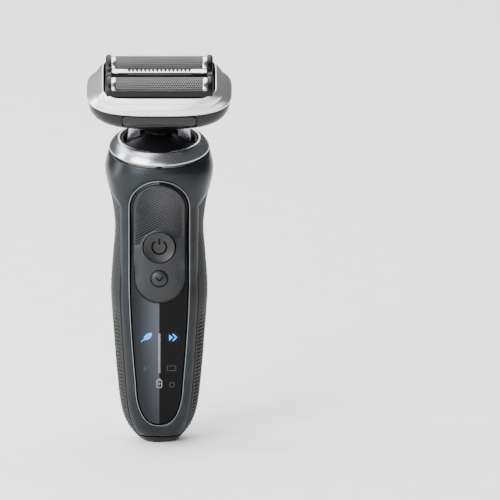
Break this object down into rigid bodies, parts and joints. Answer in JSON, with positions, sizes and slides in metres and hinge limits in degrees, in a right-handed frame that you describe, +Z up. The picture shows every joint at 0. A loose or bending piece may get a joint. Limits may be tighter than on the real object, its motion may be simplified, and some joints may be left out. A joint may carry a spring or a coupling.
{
  "type": "electric shaver",
  "caption": "Cordless foil shaver with a tilting head, a bevelled metal collar, a front display window, a dished power button and a rubber grip.",
  "frame": {"origin": "centre of the small flat rest face at the lower end of the handle", "axes": "+Z up the handle towards the head, -Y out of the front with the buttons, +X to the right seen from the front"},
  "size_m": [0.06, 0.0429, 0.1647],
  "materials": {
    "graphite": "graphite satin lacquer",
    "rubber": "matte moulded rubber",
    "black_plastic": "fine satin moulded plastic",
    "gloss_black": "polished black lens",
    "soft_grey": "soft-touch rubber",
    "silver": "satin chrome plating",
    "steel": "fine ground steel",
    "gold": "plated contact",
    "board": "printed circuit board",
    "cell": "wrapped steel can",
    "milky": "milky light-carrying plastic",
    "pale_plastic": "natural engineering plastic"
  },
  "bodies": {
    "handle": {"front_shell": "graphite", "rear_shell": "graphite", "rear_grip": "rubber", "base_cap": "black_plastic", "inlet_socket": "black_plastic", "inlet_pin_left": "gold", "inlet_pin_right": "gold", "display_window": "gloss_black", "window_trim": "silver", "button_pad": "soft_grey", "collar_ring": "silver", "collar_seal": "rubber", "neck_dome": "rubber", "neck_bracket": "pale_plastic", "roll_pin_front": "steel", "roll_pin_rear": "steel", "chassis": "black_plastic", "battery": "cell", "circuit_board": "board", "power_switch": "steel", "mode_switch": "steel", "board_screw_upper": "steel", "board_screw_lower": "steel", "light_guide": "milky", "motor": "steel", "motor_mount": "pale_plastic", "motor_screw_left": "steel", "motor_screw_right": "steel"},
    "power_button": {"power_button": "soft_grey"},
    "mode_button": {"mode_button": "soft_grey"},
    "motor_shaft": {"motor_shaft": "steel"},
    "neck": {"neck_carrier": "pale_plastic", "leg_left": "silver", "leg_right": "silver", "drive_boot": "rubber"},
    "drive_pin": {"drive_pin": "steel"},
    "head": {"head_base": "black_plastic", "head_frame": "silver", "pivot_pin_left": "steel", "pivot_pin_right": "steel", "cassette_frame": "black_plastic", "cutter_spring_front": "steel", "cutter_spring_rear": "steel"},
    "release_front": {"release_button_front": "gloss_black"},
    "release_rear": {"release_button_rear": "gloss_black"},
    "element_front": {"foil_front": "steel", "foil_holder_front": "black_plastic"},
    "element_rear": {"foil_rear": "steel", "foil_holder_rear": "black_plastic"},
    "element_middle": {"trimmer_comb": "steel", "trimmer_carrier": "black_plastic"},
    "cutter_front": {"cutter_front": "steel"},
    "cutter_rear": {"cutter_rear": "steel"},
    "trimmer_blade": {"trimmer_blade": "steel"},
    "cutter_bridge": {"cutter_bridge": "pale_plastic"}
  },
  "joints": [
    {"name": "head_roll", "type": "hinge", "parent": "handle", "child": "neck", "pos_m": [0, 0.00139, 0.12212], "axis": [0, 0.9848, 0.1736], "range_deg": [-10, 10], "stiffness_Nm_per_rad": 0.6},
    {"name": "head_pitch", "type": "hinge", "parent": "neck", "child": "head", "pos_m": [0, -0.00274, 0.14556], "axis": [1, 0, 0], "range_deg": [-12, 15], "stiffness_Nm_per_rad": 0.6},
    {"name": "power_press", "type": "slide", "parent": "handle", "child": "power_button", "axis": [0, 1, 0], "range_m": [0, 0.0006], "stiffness_N_per_m": 800},
    {"name": "mode_press", "type": "slide", "parent": "handle", "child": "mode_button", "axis": [0, 1, 0], "range_m": [0, 0.0006], "stiffness_N_per_m": 800},
    {"name": "motor_spin", "type": "hinge", "parent": "handle", "child": "motor_shaft", "pos_m": [0, 0, 0.112], "axis": [0, 0, 1], "continuous": true},
    {"name": "drive_swing", "type": "slide", "parent": "neck", "child": "drive_pin", "axis": [1, 0, 0], "range_m": [-0.0008, 0.0008], "stiffness_N_per_m": 600},
    {"name": "bridge_swing", "type": "slide", "parent": "head", "child": "cutter_bridge", "axis": [1, 0, 0], "range_m": [-0.0008, 0.0008]},
    {"name": "release_front_press", "type": "slide", "parent": "head", "child": "release_front", "axis": [0, 0.9272, 0.3746], "range_m": [0, 0.001], "stiffness_N_per_m": 600},
    {"name": "release_rear_press", "type": "slide", "parent": "head", "child": "release_rear", "axis": [0, -0.9272, -0.3746], "range_m": [0, 0.001], "stiffness_N_per_m": 600},
    {"name": "float_front", "type": "slide", "parent": "head", "child": "element_front", "axis": [0, 0.3746, -0.9272], "range_m": [0, 0.0015], "stiffness_N_per_m": 400, "springref_m": -0.0005, "deforming": ["cutter_spring_front"]},
    {"name": "float_middle", "type": "slide", "parent": "head", "child": "element_middle", "axis": [0, 0.3746, -0.9272], "range_m": [0, 0.0015], "stiffness_N_per_m": 400, "springref_m": -0.0005},
    {"name": "float_rear", "type": "slide", "parent": "head", "child": "element_rear", "axis": [0, 0.3746, -0.9272], "range_m": [0, 0.0015], "stiffness_N_per_m": 400, "springref_m": -0.0005, "deforming": ["cutter_spring_rear"]},
    {"name": "cutter_front_swing", "type": "slide", "parent": "element_front", "child": "cutter_front", "axis": [1, 0, 0], "range_m": [-0.0008, 0.0008]},
    {"name": "cutter_rear_swing", "type": "slide", "parent": "element_rear", "child": "cutter_rear", "axis": [1, 0, 0], "range_m": [-0.0008, 0.0008]},
    {"name": "trimmer_swing", "type": "slide", "parent": "element_middle", "child": "trimmer_blade", "axis": [1, 0, 0], "range_m": [-0.0008, 0.0008]}
  ],
  "couplings": [
    {"joint": "bridge_swing", "follows": "drive_swing", "ratio": 1},
    {"joint": "cutter_front_swing", "follows": "drive_swing", "ratio": 1},
    {"joint": "cutter_rear_swing", "follows": "drive_swing", "ratio": 1},
    {"joint": "trimmer_swing", "follows": "drive_swing", "ratio": 1}
  ]
}
